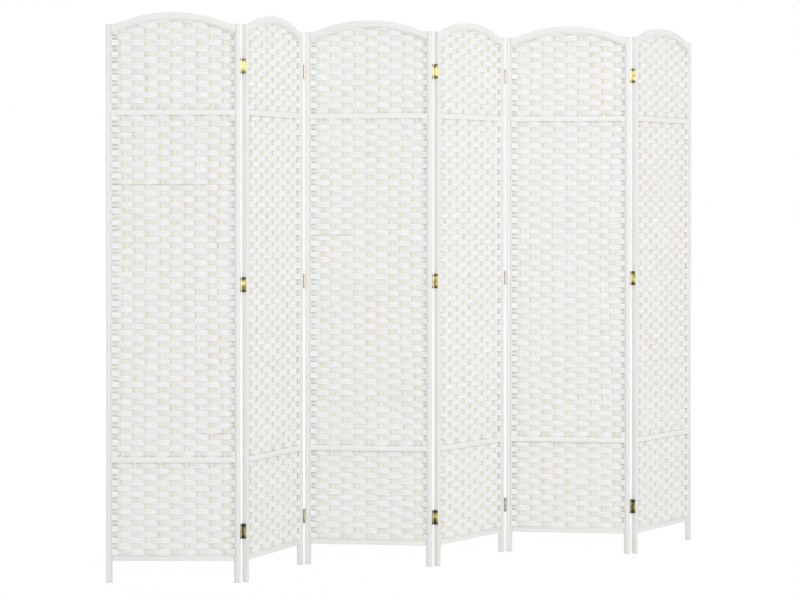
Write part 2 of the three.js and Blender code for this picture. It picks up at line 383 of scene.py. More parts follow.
def weave_bottom():
    panel = panel_sizes()
    return panel.bottom_rail_height + panel.bottom_rail_depth + panel.stick_width + panel.clearance


def batten_heights():
    """Centres of the lower and the upper crossbar."""
    panel = panel_sizes()
    return {"lower": panel.lower_batten, "upper": panel.height - panel.upper_batten_drop}


# Modelling by hand


def select_only(piece):
    bpy.ops.object.select_all(action="DESELECT")
    piece.select_set(True)
    bpy.context.view_layer.objects.active = piece


def take_added(name):
    """Names the primitive that was just added, and puts its place into its mesh."""
    piece = bpy.context.active_object
    piece.name = name
    bpy.ops.object.transform_apply(location=True, rotation=True, scale=True)
    return piece


def add_block(name, low, high):
    """A block between two corners."""
    centre = [(a + b) / 2 for a, b in zip(low, high)]
    size = [b - a for a, b in zip(low, high)]
    bpy.ops.mesh.primitive_cube_add(size=1, location=centre, scale=size)
    return take_added(name)


def add_ribbon(name, steps, middle, edges):
    """A flat ribbon of that many steps. edges(share) gives the two edge points of each step."""
    bpy.ops.mesh.primitive_grid_add(x_subdivisions=steps, y_subdivisions=1, size=1, location=middle)
    piece = take_added(name)
    for vertex in piece.data.vertices:
        share = round((vertex.co.x - middle[0] + 0.5) * steps) / steps
        first, second = edges(share)
        vertex.co = first if vertex.co.y < middle[1] else second
    return piece


def apply_modifier(piece, kind, **settings):
    select_only(piece)
    modifier = piece.modifiers.new(kind.title(), kind)
    for key, value in settings.items():
        setattr(modifier, key, value)
    bpy.ops.object.modifier_apply(modifier=modifier.name)


def edit_faces(piece, wanted):
    """Opens a piece in edit mode with the faces selected that wanted(face) picks."""
    select_only(piece)
    bpy.ops.object.mode_set(mode="EDIT")
    bpy.ops.mesh.select_mode(type="FACE")
    bpy.ops.mesh.select_all(action="DESELECT")
    bpy.ops.object.mode_set(mode="OBJECT")
    for face in piece.data.polygons:
        face.select = wanted(face)
    bpy.ops.object.mode_set(mode="EDIT")


def leave_edit():
    bpy.ops.object.mode_set(mode="OBJECT")


def face_outwards(piece):
    edit_faces(piece, lambda face: True)
    bpy.ops.mesh.normals_make_consistent(inside=False)
    leave_edit()


def thicken(piece, thickness):
    """Thickens a flat piece evenly to both sides."""
    apply_modifier(piece, "SOLIDIFY", thickness=thickness, offset=0, use_even_offset=True)
    face_outwards(piece)


def round_edges(piece, radius, segments=2):
    """Rounds the sharp edges and smooths the shading between them."""
    apply_modifier(
        piece, "BEVEL", width=radius, segments=segments, limit_method="ANGLE",
        angle_limit=math.radians(40),
    )
    bpy.ops.object.shade_smooth_by_angle(angle=math.radians(35))


def join_pieces(name, pieces):
    select_only(pieces[0])
    for piece in pieces:
        piece.select_set(True)
    bpy.ops.object.join()
    pieces[0].name = name
    return pieces[0]


def copy_into(piece, name, matrix):
    """A copy of a piece with its own mesh, put in its place in the row frame."""
    copy = piece.copy()
    copy.data = piece.data.copy()
    copy.name = name
    copy.data.name = name
    copy.data.transform(matrix)
    bpy.context.scene.collection.objects.link(copy)
    return copy


def discard(*pieces):
    for piece in pieces:
        bpy.data.objects.remove(piece)


def dress(piece, look, slot, body, *nodes):
    """Gives a piece its finish and its body, and hides the CAD nodes that it stands for."""
    piece.data.materials.clear()
    piece.data.materials.append(finish(look))
    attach(piece, body)
    if nodes:
        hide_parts(*nodes)


def fit_panels(models, turns, look, slot, node):
    """Puts copies of the models into every panel at each named turn, and dresses them.

    In a name or a node, {turn} and {panel} stand for the name of the turn and the panel's number.
    """
    for number, place in panel_places().items():
        for turn, matrix in turns.items():
            for name, model in models.items():
                piece = copy_into(model, name.format(turn=turn, panel=number), place @ matrix)
                dress(piece, look, slot, f"panel_{number}", node.format(turn=turn, panel=number))
    discard(*models.values())


def half_turns(*names):
    """A model as it is, and half a turn about the middle of the panel."""
    middle = Matrix.Translation((panel_sizes().width, 0, 0))
    return dict(zip(names, (Matrix.Identity(4), middle @ Matrix.Rotation(math.pi, 4, "Z"))))


# Finishes


def feed(node, inputs):
    """Links a node's inputs to sockets, or sets them to numbers and colours."""
    for key, value in inputs.items():
        socket = node.inputs[key]
        if isinstance(value, bpy.types.NodeSocket):
            node.id_data.links.new(value, socket)
        elif socket.type == "RGBA":
            socket.default_value = (*value, 1)
        else:
            socket.default_value = value


def add_node(tree, kind, inputs=None, **settings):
    node = tree.nodes.new(kind)
    for key, value in settings.items():
        setattr(node, key, value)
    feed(node, inputs or {})
    return node


def object_place(tree):
    return add_node(tree, "ShaderNodeTexCoord").outputs["Object"]


def object_noise(tree, scale, stretch=(1, 1, 1), detail=3.0, roughness=0.5):
    """A noise on object coordinates, stretched along the axes."""
    mapping = add_node(tree, "ShaderNodeMapping", {"Vector": object_place(tree), "Scale": stretch})
    inputs = {
        "Vector": mapping.outputs["Vector"], "Scale": scale, "Detail": detail, "Roughness": roughness
    }
    return add_node(tree, "ShaderNodeTexNoise", inputs).outputs["Fac"]


def axes(tree, vector):
    """The X, Y and Z of a vector."""
    return add_node(tree, "ShaderNodeSeparateXYZ", {"Vector": vector}).outputs


def uv_axes(tree, name):
    return axes(tree, add_node(tree, "ShaderNodeUVMap", uv_map=name).outputs["UV"])


def attribute(tree, name):
    return add_node(tree, "ShaderNodeAttribute", attribute_name=name).outputs["Fac"]


def colour_ramp(tree, value, *stops):
    """Colours at places along a value."""
    ramp = add_node(tree, "ShaderNodeValToRGB", {"Fac": value})
    elements = ramp.color_ramp.elements
    while len(elements) < len(stops):
        elements.new(0.5)
    for element, (place, tint) in zip(elements, stops):
        element.position = place
        element.color = (*tint, 1)
    return ramp.outputs["Color"]


def map_range(tree, value, low, high, from_low=0.0, from_high=1.0):
    inputs = {
        "Value": value, "From Min": from_low, "From Max": from_high, "To Min": low, "To Max": high
    }
    return add_node(tree, "ShaderNodeMapRange", inputs).outputs["Result"]


def calculate(tree, operation, *values):
    """A Math node on numbers and sockets."""
    node = add_node(tree, "ShaderNodeMath", dict(enumerate(values)), operation=operation)
    return node.outputs["Value"]


def mix_colours(tree, share, first, second, blend="MIX"):
    inputs = {MIX_FACTOR: share, MIX_FIRST: first, MIX_SECOND: second}
    node = add_node(tree, "ShaderNodeMix", inputs, data_type="RGBA", blend_type=blend)
    return node.outputs[MIX_RESULT]


def multiply(tree, first, *others):
    """Colours multiplied one after the other."""
    product = first
    for other in others:
        product = mix_colours(tree, 1.0, product, other, "MULTIPLY")
    return product


def bump(tree, height, distance, strength):
    """The normal of a surface with this relief."""
    inputs = {"Height": height, "Distance": distance, "Strength": strength}
    return add_node(tree, "ShaderNodeBump", inputs).outputs["Normal"]


def shaded(tint, factor):
    return tuple(min(1.0, channel * factor) for channel in tint)


# Each of these gives the inputs of a finish's shader


def white_paint(tree, grain, painted_lightness=1.0):
    """Satin white paint over wood, brushed along the grain. A painted lightness above 1 makes a lighter
    copy of it, as painted light.
    """
    paint = shaded(finish_colours().paint, painted_lightness)
    creamy = (paint[0] * 0.985, paint[1] * 0.98, paint[2] * 0.955)
    cloud = object_noise(tree, 9.0, detail=4.0, roughness=0.6)
    base = colour_ramp(tree, cloud, (0.35, creamy), (0.6, paint))
    brushed = object_noise(tree, 1.0, grain, detail=5.0, roughness=0.65)
    streaks = colour_ramp(tree, brushed, (0.3, (0.955, 0.95, 0.94)), (0.62, WHITE))
    return {
        "Base Color": multiply(tree, base, streaks),
        "Roughness": map_range(tree, brushed, 0.38, 0.56, 0.3, 0.7),
        "Specular IOR Level": 0.4,
        "Normal": bump(tree, brushed, 0.0003, 0.6),
    }


def paper_cord(tree):
    """Twisted white paper cord, with painted shade in the grooves of its twist, between neighbouring
    cords and in recesses. The UV map runs along each cord and over it, in metres.
    """
    tint = tuple(finish_colours().cord)
    half = cord_pitch() / 2
    on_cord = uv_axes(tree, "cord")
    over = calculate(tree, "DIVIDE", on_cord["Y"], half)
    along = calculate(tree, "DIVIDE", on_cord["X"], 2.2 * half)
    turns = calculate(tree, "MULTIPLY_ADD", over, 0.5, along)
    wave = calculate(tree, "SINE", calculate(tree, "MULTIPLY", turns, 2 * math.pi))
    strands = map_range(tree, wave, 0.0, 1.0, -1.0, 1.0)
    # Painted shade: darker in the grooves of the twist and along the edges between neighbouring cords.
    creases = colour_ramp(tree, strands, (0.0, shaded(tint, 0.955)), (0.4, tint))
    valley = calculate(tree, "ABSOLUTE", over)
    valleys = colour_ramp(tree, valley, (0.72, WHITE), (1.0, (0.955, 0.95, 0.935)))
    tones = colour_ramp(
        tree, attribute(tree, "cord_tone"),
        (0.0, (0.97, 0.968, 0.96)), (0.4, (0.99, 0.99, 0.988)), (1.0, WHITE),
    )
    # Painted shade from the points' shade attribute: dark in the recesses beside the edge sticks, and
    # lines along band edges under and over the crossbars and where bands part.
    painted_recess_shade = colour_ramp(
        tree, attribute(tree, "cord_painted_shade"),
        (0.0, WHITE), (0.3, (0.80, 0.78, 0.72)), (1.0, (0.38, 0.35, 0.28)),
    )
    blotch = object_noise(tree, 38.0, detail=3.0)
    blotches = colour_ramp(tree, blotch, (0.32, (0.975, 0.974, 0.968)), (0.6, WHITE))
    fibres = object_noise(tree, 900.0, detail=2.0)
    relief = calculate(tree, "MULTIPLY_ADD", fibres, 0.35, strands)
    return {
        "Base Color": multiply(tree, creases, valleys, tones, painted_recess_shade, blotches),
        "Roughness": map_range(tree, fibres, 0.72, 0.95),
        "Specular IOR Level": 0.25,
        "Normal": bump(tree, relief, 0.0002, 0.5),
    }


def stake_wood(tree):
    """Pale peeled wood with a fine upright grain, here peach and there greenish."""
    tint = tuple(finish_colours().stake)
    grain = object_noise(tree, 1.0, (420, 420, 9), detail=5.0, roughness=0.6)
    base = colour_ramp(
        tree, grain, (0.25, shaded(tint, 0.82)), (0.5, tint), (0.75, shaded(tint, 1.06))
    )
    blotch = object_noise(tree, 22.0, (1, 1, 0.35), detail=3.0)
    blotches = colour_ramp(tree, blotch, (0.3, (0.95, 0.925, 0.88)), (0.65, WHITE))
    growth = object_noise(tree, 16.0, (1, 1, 0.15), detail=1.0)
    growths = colour_ramp(
        tree, growth, (0.38, (1.0, 0.945, 0.90)), (0.5, WHITE), (0.62, (0.97, 1.0, 0.93))
    )
    return {
        "Base Color": multiply(tree, base, blotches, growths),
        "Roughness": map_range(tree, grain, 0.55, 0.75),
        "Normal": bump(tree, grain, 0.00025, 0.5),
    }


def tarnished_brass_painted_highlights(tree):
    """Brass with painted light: a painted highlight in the middle of a leaf and on its barrel, lighter
    away from the floor, and painted shade at the leaf's ends, under tarnish blotches.
    """
    tint = tuple(finish_colours().brass)
    half = hinge_sizes().length / 2
    barrel = hinge_sizes().knuckle_radius
    on_leaf = uv_axes(tree, "leaf")
    height = axes(tree, object_place(tree))["Z"]
    # Painted light: the brass is lighter higher up, and painted shade darkens the ends of a leaf.
    painted_light_by_height = map_range(tree, height, -0.2, 0.14, 0.0, panel_sizes().height)
    from_middle = calculate(tree, "ABSOLUTE", on_leaf["Y"])
    ends = map_range(tree, from_middle, 0.0, 0.36, 0.5 * half, 0.85 * half)
    blotch = object_noise(tree, 62.0, detail=4.0, roughness=0.55)
    tarnish_and_painted_light = calculate(tree, "MULTIPLY_ADD", blotch, 1.1, painted_light_by_height)
    # Lit and shaded copies of the brass tint, up to a near-white painted highlight, picked by the
    # tarnish blotches, the painted light by height and the painted shade at the ends.
    base = colour_ramp(
        tree, calculate(tree, "SUBTRACT", tarnish_and_painted_light, ends),
        (0.08, shaded(tint, 0.25)), (0.3, shaded(tint, 0.6)), (0.5, shaded(tint, 1.35)),
        (0.66, shaded(tint, 2.15)), (0.82, (1.0, 0.96, 0.76)),
    )
    # A pale painted highlight on the barrel, stronger higher up.
    on_barrel = map_range(tree, on_leaf["X"], 1.0, 0.0, 1.04 * barrel, 1.14 * barrel)
    painted_highlight_by_height = map_range(tree, height, 0.35, 0.9, 0.1, 0.8)
    painted_barrel_highlight = calculate(tree, "MULTIPLY", on_barrel, painted_highlight_by_height)
    marks = object_noise(tree, 1.0, (300, 300, 2600), detail=3.0)
    return {
        "Base Color": mix_colours(tree, painted_barrel_highlight, base, (0.79, 0.69, 0.62)),
        "Metallic": 1.0,
        "Roughness": map_range(tree, marks, 0.26, 0.5),
        "Normal": bump(tree, marks, 0.00005, 0.5),
    }


def pale_floor(tree):
    tint = tuple(finish_colours().floor)
    cloud = object_noise(tree, 1.5, detail=2.0)
    return {
        "Base Color": colour_ramp(tree, cloud, (0.3, shaded(tint, 0.985)), (0.7, tint)),
        "Roughness": 0.9,
        "Specular IOR Level": 0.0,
    }


FINISHES = {
    "upright_paint": lambda tree: white_paint(tree, (260, 260, 5)),
    "level_paint": lambda tree: white_paint(tree, (5, 5, 260)),
    # The crossbars get a slightly lighter copy of the paint, as painted light.
    "crossbar_paint": lambda tree: white_paint(tree, (5, 5, 260), 1.025),
    "paper_cord": paper_cord,
    "stake_wood": stake_wood,
    "tarnished_brass_painted_highlights": tarnished_brass_painted_highlights,
    "floor": pale_floor,
}


def finish(name):
    """A finish by its name, made when it is first asked for."""
    if name not in bpy.data.materials:
        material = bpy.data.materials.new(name)
        material.use_nodes = True
        tree = material.node_tree
        feed(tree.nodes["Principled BSDF"], FINISHES[name](tree))
    return bpy.data.materials[name]


# Wooden pieces


def model_stile():
    """A left stile with rounded edges and a softer foot."""
    panel = panel_sizes()
    half = panel.stile_thickness / 2
    stile = add_block("stile", (0, -half, 0), (panel.stile_width, half, panel.height))
    edit_faces(stile, lambda face: face.normal.z < -0.9)
    bpy.ops.mesh.bevel(offset=2 * panel.rounding, segments=3, affect="EDGES")
    leave_edit()
    round_edges(stile, panel.rounding, 3)
    return stile


def model_stick():
    """The slim stick beside a left stile, from the floor to the top rail."""
    panel = panel_sizes()
    half = panel.stick_thickness / 2
    top = panel.height - panel.top_rail_end - panel.clearance
    stick = add_block("stick", (panel.stile_width, -half, 0), (side_width(), half, top))
    round_edges(stick, panel.rounding * 0.7)
    return stick


class PARTITION_OT_stiles(bpy.types.Operator):
    """Stiles of all panels, with the slim sticks along their inner edges"""

    bl_idname = "partition.stiles"
    bl_label = "Stiles and Edge Sticks"

    def execute(self, context):
        models = {"stile_{turn}_{panel}": model_stile(), "stick_{turn}_{panel}": model_stick()}
        turns = half_turns("left", "right")
        fit_panels(models, turns, "upright_paint", "white_paint", "panel_{panel}_{turn}_stile")
        return {"FINISHED"}


def model_arch(name, half_width, thickness, rounding, under, over, steps):
    """An arched board between two height functions of x."""
    middle = panel_sizes().width / 2

    def edges(share):
        x = middle + half_width * (2 * share - 1)
        return (x, 0, under(x)), (x, 0, over(x))

    board = add_ribbon(name, steps, (middle, 0, 0), edges)
    thicken(board, thickness)
    round_edges(board, rounding, 3)
    return board


class PARTITION_OT_top_rails(bpy.types.Operator):
    """Arched top rails with the strip under each arch"""

    bl_idname = "partition.top_rails"
    bl_label = "Arched Top Rails"

    def execute(self, context):
        panel = panel_sizes()
        half_inside = panel.width / 2 - panel.stile_width - panel.clearance
        rail = model_arch(
            "rail", half_inside, panel.rail_thickness, panel.rounding, arch_under, arch_over, 74
        )
        strip = model_arch(
            "strip", half_opening(), panel.stick_thickness, panel.rounding / 2,
            lambda x: arch_under(x, panel.stick_width), arch_under, 48,
        )
        models = {"arch_rail_{panel}": rail, "arch_strip_{panel}": strip}
        fit_panels(models, AS_MODELLED, "level_paint", "white_paint", "panel_{panel}_top_rail")
        return {"FINISHED"}


class PARTITION_OT_bottom_rails(bpy.types.Operator):
    """Bottom rails with the strip above each"""

    bl_idname = "partition.bottom_rails"
    bl_label = "Bottom Rails"

    def execute(self, context):
        panel = panel_sizes()
        left, right = opening_ends()
        low = panel.bottom_rail_height
        high = low + panel.bottom_rail_depth
        half = panel.rail_thickness / 2
        rail = add_block("rail", (left, -half, low), (right, half, high))
        round_edges(rail, panel.rounding, 3)
        half = panel.stick_thickness / 2
        strip = add_block("strip", (left, -half, high), (right, half, high + panel.stick_width))
        round_edges(strip, panel.rounding * 0.7)
        models = {"bottom_rail_{panel}": rail, "bottom_strip_{panel}": strip}
        fit_panels(models, AS_MODELLED, "level_paint", "white_paint", "panel_{panel}_bottom_rail")
        return {"FINISHED"}


def model_batten(height):
    """A back batten: a board between the sticks whose thinner ends lie over them."""
    panel = panel_sizes()
    inner = weave_sizes().stake_thickness / 2 + panel.clearance
    half = panel.batten_depth / 2
    left, right = opening_ends()
    batten = add_block("batten", (left, inner, -half), (right, panel.batten_thickness / 2, half))
    over_stick = panel.stick_thickness / 2 + panel.clearance
    edit_faces(batten, lambda face: True)
    bpy.ops.mesh.bisect(plane_co=(0, over_stick, 0), plane_no=(0, 1, 0))
    leave_edit()
    for sign in (-1, 1):
        edit_faces(batten, lambda face: face.normal.x * sign > 0.9 and face.center.y > over_stick)
        bpy.ops.mesh.extrude_region_move(
            TRANSFORM_OT_translate={"value": (sign * panel.stick_width, 0, 0)}
        )
        leave_edit()
    round_edges(batten, panel.rounding * 0.8, 3)
    batten.data.transform(Matrix.Translation((0, 0, height)))
    return batten


class PARTITION_OT_crossbars(bpy.types.Operator):
    """Upper and lower crossbars, each a pair of battens that clamps the stakes"""

    bl_idname = "partition.crossbars"
    bl_label = "Crossbars"

    def execute(self, context):
        models = {
            f"batten_{level}_{{turn}}_{{panel}}": model_batten(height)
            for level, height in batten_heights().items()
        }
        turns = half_turns("back", "front")
        fit_panels(models, turns, "crossbar_paint", "white_paint", "panel_{panel}_woven_infill")
        return {"FINISHED"}


# The weave


def stake_wander(number):
    """For each stake of a panel, its bow between the crossbars and the sizes of three slow waves."""
    chance = random.Random(100 + number)
    drift = weave_sizes().stake_drift
    rows = []
    for index in range(weave_sizes().stakes):
        bow = STAKE_BOWS[number][index % len(STAKE_BOWS[number])] / 1000
        rows.append((bow, [drift * chance.uniform(-1, 1) * part for part in (1.0, 0.7, 0.5)]))
    return rows


def stake_centre(index, wander, z):
    """x of a stake's centre at height z. The crossbars hold it true, and it wanders between them."""
    panel = panel_sizes()
    weave = weave_sizes()
    bow, sizes = wander[index]
    share = (z - weave_bottom()) / (crown_height() - weave_bottom())
    x = sum(size * math.sin(math.pi * (order + 1) * share) for order, size in enumerate(sizes))
    heights = batten_heights()
    between = (z - heights["lower"]) / (heights["upper"] - heights["lower"])
    if 0 < between < 1:
        x += bow * math.sin(math.pi * between ** 1.4)
    first = panel.width / 2 - weave.stake_pitch * (weave.stakes - 1) / 2
    return first + weave.stake_pitch * index + x


def fit_woven(model, name, look, number, place):
    """Puts a woven piece into the panel that it was modelled for."""
    piece = copy_into(model, name, place)
    discard(model)
    dress(piece, look, "woven_cord", f"panel_{number}", f"panel_{number}_woven_infill")


class PARTITION_OT_stakes(bpy.types.Operator):
    """Flat wooden stakes that the cords are woven round"""

    bl_idname = "partition.stakes"
    bl_label = "Stakes"

    def execute(self, context):
        weave = weave_sizes()
        for number, place in panel_places().items():
            wander = stake_wander(number)
            for index in range(weave.stakes):

                def edges(share):
                    top = weave_top(stake_centre(index, wander, panel_sizes().height))
                    z = weave_bottom() + share * (top - weave_bottom())
                    x = stake_centre(index, wander, z)
                    return (x + weave.stake_width / 2, 0, z), (x - weave.stake_width / 2, 0, z)

                model = add_ribbon("stake", STAKE_STEPS, (0, 0, 0), edges)
                thicken(model, weave.stake_thickness)
                round_edges(model, STAKE_ROUNDING)
                fit_woven(model, f"stake_{number}_{index + 1}", "stake_wood", number, place)
        return {"FINISHED"}


def band_bottoms():
    """(lower edge, height) of each woven band from the bottom up, in three runs between crossbars."""
    panel = panel_sizes()
    weave = weave_sizes()
    heights = batten_heights()
    half = panel.batten_depth / 2
    runs = [
        (weave_bottom(), heights["lower"] - half),
        (heights["lower"] + half, heights["upper"] - half),
        (heights["upper"] + half, weave_top(panel.width / 2)),
    ]
    bands = []
    for low, high in runs:
        if high > heights["upper"]:
            count = math.ceil((high - low) / weave.band_height)
            step = weave.band_height
        else:
            count = round((high - low) / weave.band_height)
            step = (high - low) / count
        bands += [(low + step * band, step) for band in range(count)]
    return bands


def parted_spans(number, bottom, top):
    """(strength, low x, high x) of each painted shade line along a band's edge, where it stands apart
    from a crossbar or a band: + above it and - below it.
    """
    panel = panel_sizes()
    heights = batten_heights()
    half = panel.batten_depth / 2
    spans = []
    if abs(top + half - heights["lower"]) < 0.001:
        spans.append((UNDER_CROSSBAR, 0, panel.width))
    if abs(bottom - half - heights["upper"]) < 0.001:
        spans.append((-OVER_CROSSBAR, 0, panel.width))
    for height, low, high in PARTED_BANDS.get(number, ()):
        if abs(top - height) < (top - bottom) / 2:
            spans.append((PARTED, low, high))
    return spans


def cord_route(band, z, sway, wander, recessed, spans):
    """x, y, z, and the painted shade of the recess and of a parting, along the middle of a cord, over
    one upright, behind the next.

    The painted shade of the recess falls from where the cord turns behind an edge stick to 0 before the
    stakes.
    """
    panel = panel_sizes()
    weave = weave_sizes()
    over_stick = (panel.stick_thickness + weave.cord_depth) / 2
    over_stake = (weave.stake_thickness + weave.cord_depth) / 2
    half = weave.stake_width / 2
    start = panel.stile_width + panel.clearance
    flats = [(start, side_width(), over_stick)]
    for index in range(weave.stakes):
        centre = stake_centre(index, wander, z)
        flats.append((centre - half, centre + half, over_stake))
    flats.append((panel.width - side_width(), panel.width - start, over_stick))
    xs, ys = [], []
    side = -1 if band % 2 == 0 else 1
    for upright, (left, right, reach) in enumerate(flats):
        here = side * reach * (1 if upright % 2 == 0 else -1)
        if upright:
            gap = left - xs[-1]
            before = ys[-1]
            xs += [xs[-1] + gap / 3, left - gap / 3]
            ys += [before * 0.5, here * 0.5]
        xs += [left, right]
        ys += [here, here]
    xs = np.array(xs)
    zs = z + sum(size * np.sin(xs * rate + phase) for size, rate, phase in sway)
    # Painted shade beside an edge stick on bands that turn behind it, and painted shade lines where a
    # band parts or meets a crossbar.
    from_stick = np.minimum(xs - side_width(), 1.5 * (panel.width - xs - side_width()))
    shade = np.clip(RECESS_FALL * (1 - from_stick / weave.recess), 0, 1)
    recess = shade * recessed * (side > 0)
    parted = sum((strength * ((xs >= low) & (xs <= high)) for strength, low, high in spans), 0 * xs)
    return np.array([xs, ys, zs, recess, parted])


def under_arch(route, z):
    """A route pressed down under the arch, and cut off where the cord below takes its place."""
    panel = panel_sizes()
    radius, centre = inner_arch(panel.stick_width)
    half_cord = cord_pitch() / 2
    if z - half_cord <= arch_under(0, panel.stick_width):
        return route
    half = math.sqrt(radius ** 2 - (z - half_cord - centre) ** 2)
    ends = panel.width / 2 + np.array([-half, half])
    xs = route[0]
    new_xs = np.concatenate([ends[:1], xs[(xs > ends[0]) & (xs < ends[1])], ends[1:]])
    cut = np.array([np.interp(new_xs, xs, row) for row in route])
    below = centre + np.sqrt(radius ** 2 - (new_xs - panel.width / 2) ** 2)
    cut[1, [0, -1]] *= 0.4
    cut[2] = np.minimum(cut[2], below - half_cord)
    return cut


def cord_routes(number, chance, wander):
    """(route, half height, height in its band from -1 to 1) of each cord of a panel."""
    weave = weave_sizes()
    panel = panel_sizes()
    cords = []
    for band, (bottom, height) in enumerate(band_bottoms()):
        pitch = height / weave.cords
        sway = [
            (weave.slack * chance.uniform(0.2, 0.5), chance.uniform(10, 50), chance.uniform(0, 6.3))
            for _ in range(2)
        ]
        # How strong the painted shade is in this band's recesses.
        recessed = chance.uniform(0.55, 1.0)
        spans = parted_spans(number, bottom, bottom + height)
        for cord in range(weave.cords):
            level = (cord + 0.5) * 2 / weave.cords - 1
            z = bottom + pitch * (cord + 0.5)
            if z - pitch / 2 < arch_under(panel.width / 2, panel.stick_width) - 0.001:
                route = cord_route(band, z, sway, wander, recessed, spans)
                cords.append((under_arch(route, z), pitch / 2, level))
    return cords


def cord_rings(route, half, level, depth):
    """Points round a cord pressed flat front and back, and how much painted shade each gets in a recess
    and where its band parts.

    Each ring runs from the upper back corner down the back, and up the front.
    """
    xs, ys, zs, recess, parted = route
    dx = np.gradient(xs)
    dy = np.gradient(ys)
    size = np.hypot(dx, dy)
    corner = (0.78 - 0.4 * recess)[:, None] * depth / 2
    crown = np.full_like(corner, depth / 2)
    out = np.hstack([-corner, -crown, -corner, corner, crown, corner])
    up = half * np.array([1, 0, -1, -1, 0, 1])
    rings = np.empty((len(xs), CORD_SIDES, 3))
    rings[..., 0] = xs[:, None] + (dy / size)[:, None] * out
    rings[..., 1] = ys[:, None] - (dx / size)[:, None] * out
    rings[..., 2] = zs[:, None] + up
    # Painted shade: strongest at the upper and lower edges of a band in a recess, and a line along the
    # edge where a band parts.
    in_band = level + up / half / weave_sizes().cords
    hidden = recess[:, None] * np.abs(in_band) ** 3
    apart = (np.abs(in_band) > 0.9) * parted[:, None] * np.sign(in_band)
    return rings, up, np.maximum(hidden, apart)


def tube_corners(count):
    """(ring, side) of the four corners of each wall face of a tube of that many rings."""
    ring, side = np.meshgrid(np.arange(count - 1), np.arange(CORD_SIDES), indexing="ij")
    ring, side = ring.ravel(), side.ravel()
    beside = (side + 1) % CORD_SIDES
    corners = [(ring, side), (ring + 1, side), (ring + 1, beside), (ring, beside)]
    return np.array(corners).transpose(2, 0, 1), side


def woven_mesh(cords, chance):
    """A closed tube along each route. Its UV map runs along and over the cord, in metres."""
    points, walls, ends, wall_uvs, end_uvs, smooth = [], [], [], [], [], []
    tones, recesses = [], []
    start = 0
    for route, half, level in cords:
        depth = weave_sizes().cord_depth * chance.uniform(0.94, 1.0)
        rings, up, recess = cord_rings(route, half * 1.01, level, depth)
        count = len(rings)
        corners, side = tube_corners(count)
        steps = np.hypot(np.diff(route[0], prepend=route[0, 0]), np.diff(route[1], prepend=route[1, 0]))
        along = np.cumsum(steps) + chance.uniform(0, 1)
        over = np.where(side[:, None] < 2, -1, 1) * up[corners[:, :, 1]]
        points.append(rings.reshape(-1, 3))
        walls.append(start + corners[:, :, 0] * CORD_SIDES + corners[:, :, 1])
        wall_uvs.append(np.stack([along[corners[:, :, 0]], over], -1).reshape(-1, 2))
        smooth.append((side != 2) & (side != 5))
        last = start + (count - 1) * CORD_SIDES
        ends.append([start + point for point in range(CORD_SIDES)])
        ends.append([last + point for point in reversed(range(CORD_SIDES))])
        end_uvs.append(np.stack([np.full(CORD_SIDES, along[0]), up], -1))
        end_uvs.append(np.stack([np.full(CORD_SIDES, along[-1]), up[::-1]], -1))
        tones.append(np.full(count * CORD_SIDES, chance.random()))
        recesses.append(recess.ravel())
        start += count * CORD_SIDES
    mesh = bpy.data.meshes.new("cords")
    mesh.from_pydata(np.concatenate(points).tolist(), [], np.concatenate(walls).tolist() + ends)
    mesh.polygons.foreach_set("use_smooth", np.concatenate(smooth + [np.zeros(len(ends), bool)]))
    layer = mesh.uv_layers.new(name="cord")
    layer.data.foreach_set("uv", np.concatenate(wall_uvs + end_uvs).ravel())
    # The second attribute holds the painted shade of each point.
    for name, values in (("cord_tone", tones), ("cord_painted_shade", recesses)):
        attribute = mesh.attributes.new(name, "FLOAT", "POINT")
        attribute.data.foreach_set("value", np.concatenate(values))
    return mesh


def weave_panel(number):
    """All cords of a panel as one piece, in the panel's own place frame."""
    chance = random.Random(number)
    mesh = woven_mesh(cord_routes(number, chance, stake_wander(number)), chance)
    cords = bpy.data.objects.new("cords", mesh)
    bpy.context.scene.collection.objects.link(cords)
    return cords


class PARTITION_OT_cords(bpy.types.Operator):
    """Bands of twisted paper cord woven in front of one upright and behind the next"""

    bl_idname = "partition.cords"
    bl_label = "Woven Cords"

    def execute(self, context):
        for number, place in panel_places().items():
            fit_woven(weave_panel(number), f"woven_cords_{number}", "paper_cord", number, place)
        return {"FINISHED"}


# Hinges


def pin_offset():
    """From the pin axis to the face of the stile's edge."""
    return hinge_sizes().knuckle_radius + hinge_sizes().leaf_seat


def knuckle_height():
    hinge = hinge_sizes()
    return hinge.length / hinge.knuckles - hinge.knuckle_gap


def knuckle_places(first):
    """Centres of every second knuckle about the middle of the hinge."""
    hinge = hinge_sizes()
    step = hinge.length / hinge.knuckles
    return [-hinge.length / 2 + step * (slot + 0.5) for slot in range(first, hinge.knuckles, 2)]


def model_knuckle(z, bore):
    """A rolled knuckle with a bore for the pin."""
    radius = hinge_sizes().knuckle_radius
    bpy.ops.mesh.primitive_cylinder_add(
        vertices=24, radius=radius, depth=knuckle_height(), end_fill_type="NOTHING", location=(0, 0, z)
    )
    knuckle = take_added("knuckle")
    apply_modifier(knuckle, "SOLIDIFY", thickness=radius - bore, offset=-1)
    face_outwards(knuckle)
    round_edges(knuckle, BRASS_ROUNDING)
    return knuckle


def model_leaf(name, first, bore):
    """A leaf about its pin axis, lying at -X and reaching to -Y."""
    hinge = hinge_sizes()
    near = -hinge.leaf_play / 2
    far = near - hinge.leaf_thickness
    outer = -pin_offset() - panel_sizes().stile_thickness + hinge.leaf_margin
    half = hinge.length / 2
    plate = add_block("plate", (far, outer, -half), (near, -pin_offset(), half))
    round_edges(plate, LEAF_ROUNDING)
    parts = [plate]
    reach = knuckle_height() / 2
    for z in knuckle_places(first):
        inside_plate = -pin_offset() - TONGUE_LAP
        tongue = add_block("tongue", (far, inside_plate, z - reach), (near, -bore, z + reach))
        parts += [tongue, model_knuckle(z, bore)]
    return join_pieces(name, parts)


